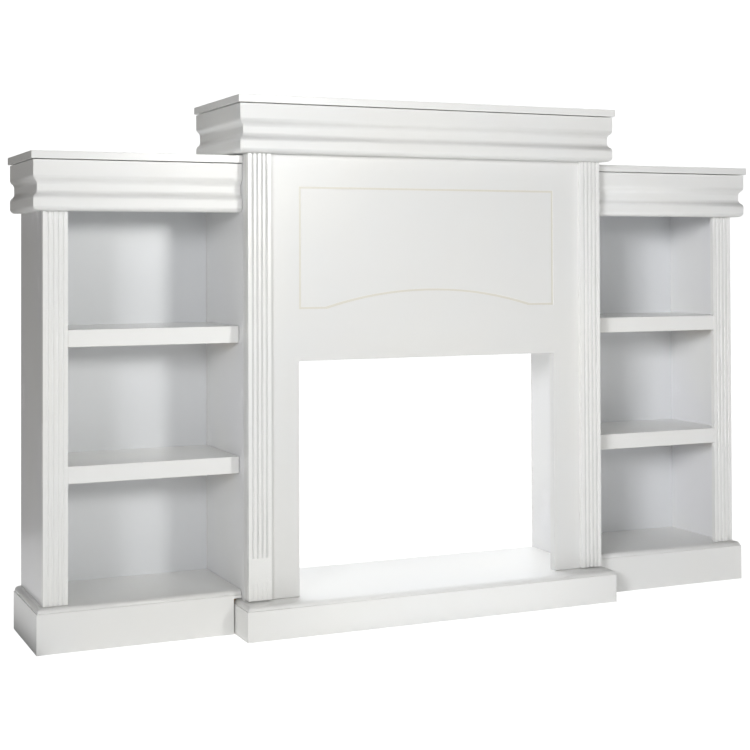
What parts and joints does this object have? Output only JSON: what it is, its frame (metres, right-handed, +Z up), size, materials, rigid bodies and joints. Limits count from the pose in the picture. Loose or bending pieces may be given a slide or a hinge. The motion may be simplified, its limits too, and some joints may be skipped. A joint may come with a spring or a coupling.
{
  "type": "electric fireplace mantel with side bookcases",
  "caption": "White mantel surround for an electric fireplace: fluted pilasters, curved cornice and a panelled front over an open hearth, between two lower open bookcases.",
  "frame": {"origin": "on the floor, midway across the overall width and depth", "axes": "+X to the right seen from the front, +Y towards the wall behind, +Z up"},
  "size_m": [1.784, 0.334, 1.156],
  "materials": {
    "lacquered_board": "satin white lacquer over fibreboard",
    "lacquered_moulding": "satin white lacquer over moulded fibreboard",
    "back_sheet": "white-faced thin hardboard, brown behind",
    "plain_softwood": "bare planed softwood",
    "zinc_steel": "zinc-plated steel",
    "glide_nylon": "off-white nylon"
  },
  "bodies": {
    "root": {"bookcase_bolts": "zinc_steel", "center_back_rail": "plain_softwood", "center_cornice_front": "lacquered_moulding", "center_front_panel": "lacquered_board", "center_header_rail": "lacquered_board", "center_hearth_board": "lacquered_board", "center_hearth_rails": "plain_softwood", "center_panel_battens": "plain_softwood", "center_plinth_front": "lacquered_board", "center_top_blocks": "plain_softwood", "center_top_board": "lacquered_board", "floor_glides": "glide_nylon", "left_back_panel": "back_sheet", "left_back_pins": "zinc_steel", "left_center_cornice_return": "lacquered_moulding", "left_center_pilaster": "lacquered_moulding", "left_center_plinth_return": "lacquered_board", "left_center_side_panel": "lacquered_board", "left_cornice_front": "lacquered_moulding", "left_cornice_return": "lacquered_moulding", "left_floor_board": "lacquered_board", "left_floor_cleats": "plain_softwood", "left_header_rail": "lacquered_board", "left_lower_shelf": "lacquered_board", "left_lower_shelf_lipping": "lacquered_board", "left_pilaster": "lacquered_moulding", "left_plinth_front": "lacquered_board", "left_plinth_return": "lacquered_board", "left_shelf_cleats": "plain_softwood", "left_side_panel": "lacquered_board", "left_top_board": "lacquered_board", "left_upper_shelf": "lacquered_board", "left_upper_shelf_lipping": "lacquered_board", "plinth_blocks": "plain_softwood", "right_back_panel": "back_sheet", "right_back_pins": "zinc_steel", "right_center_cornice_return": "lacquered_moulding", "right_center_pilaster": "lacquered_moulding", "right_center_plinth_return": "lacquered_board", "right_center_side_panel": "lacquered_board", "right_cornice_front": "lacquered_moulding", "right_cornice_return": "lacquered_moulding", "right_floor_board": "lacquered_board", "right_floor_cleats": "plain_softwood", "right_header_rail": "lacquered_board", "right_lower_shelf": "lacquered_board", "right_lower_shelf_lipping": "lacquered_board", "right_pilaster": "lacquered_moulding", "right_plinth_front": "lacquered_board", "right_plinth_return": "lacquered_board", "right_shelf_cleats": "plain_softwood", "right_side_panel": "lacquered_board", "right_top_board": "lacquered_board", "right_upper_shelf": "lacquered_board", "right_upper_shelf_lipping": "lacquered_board"}
  },
  "joints": []
}
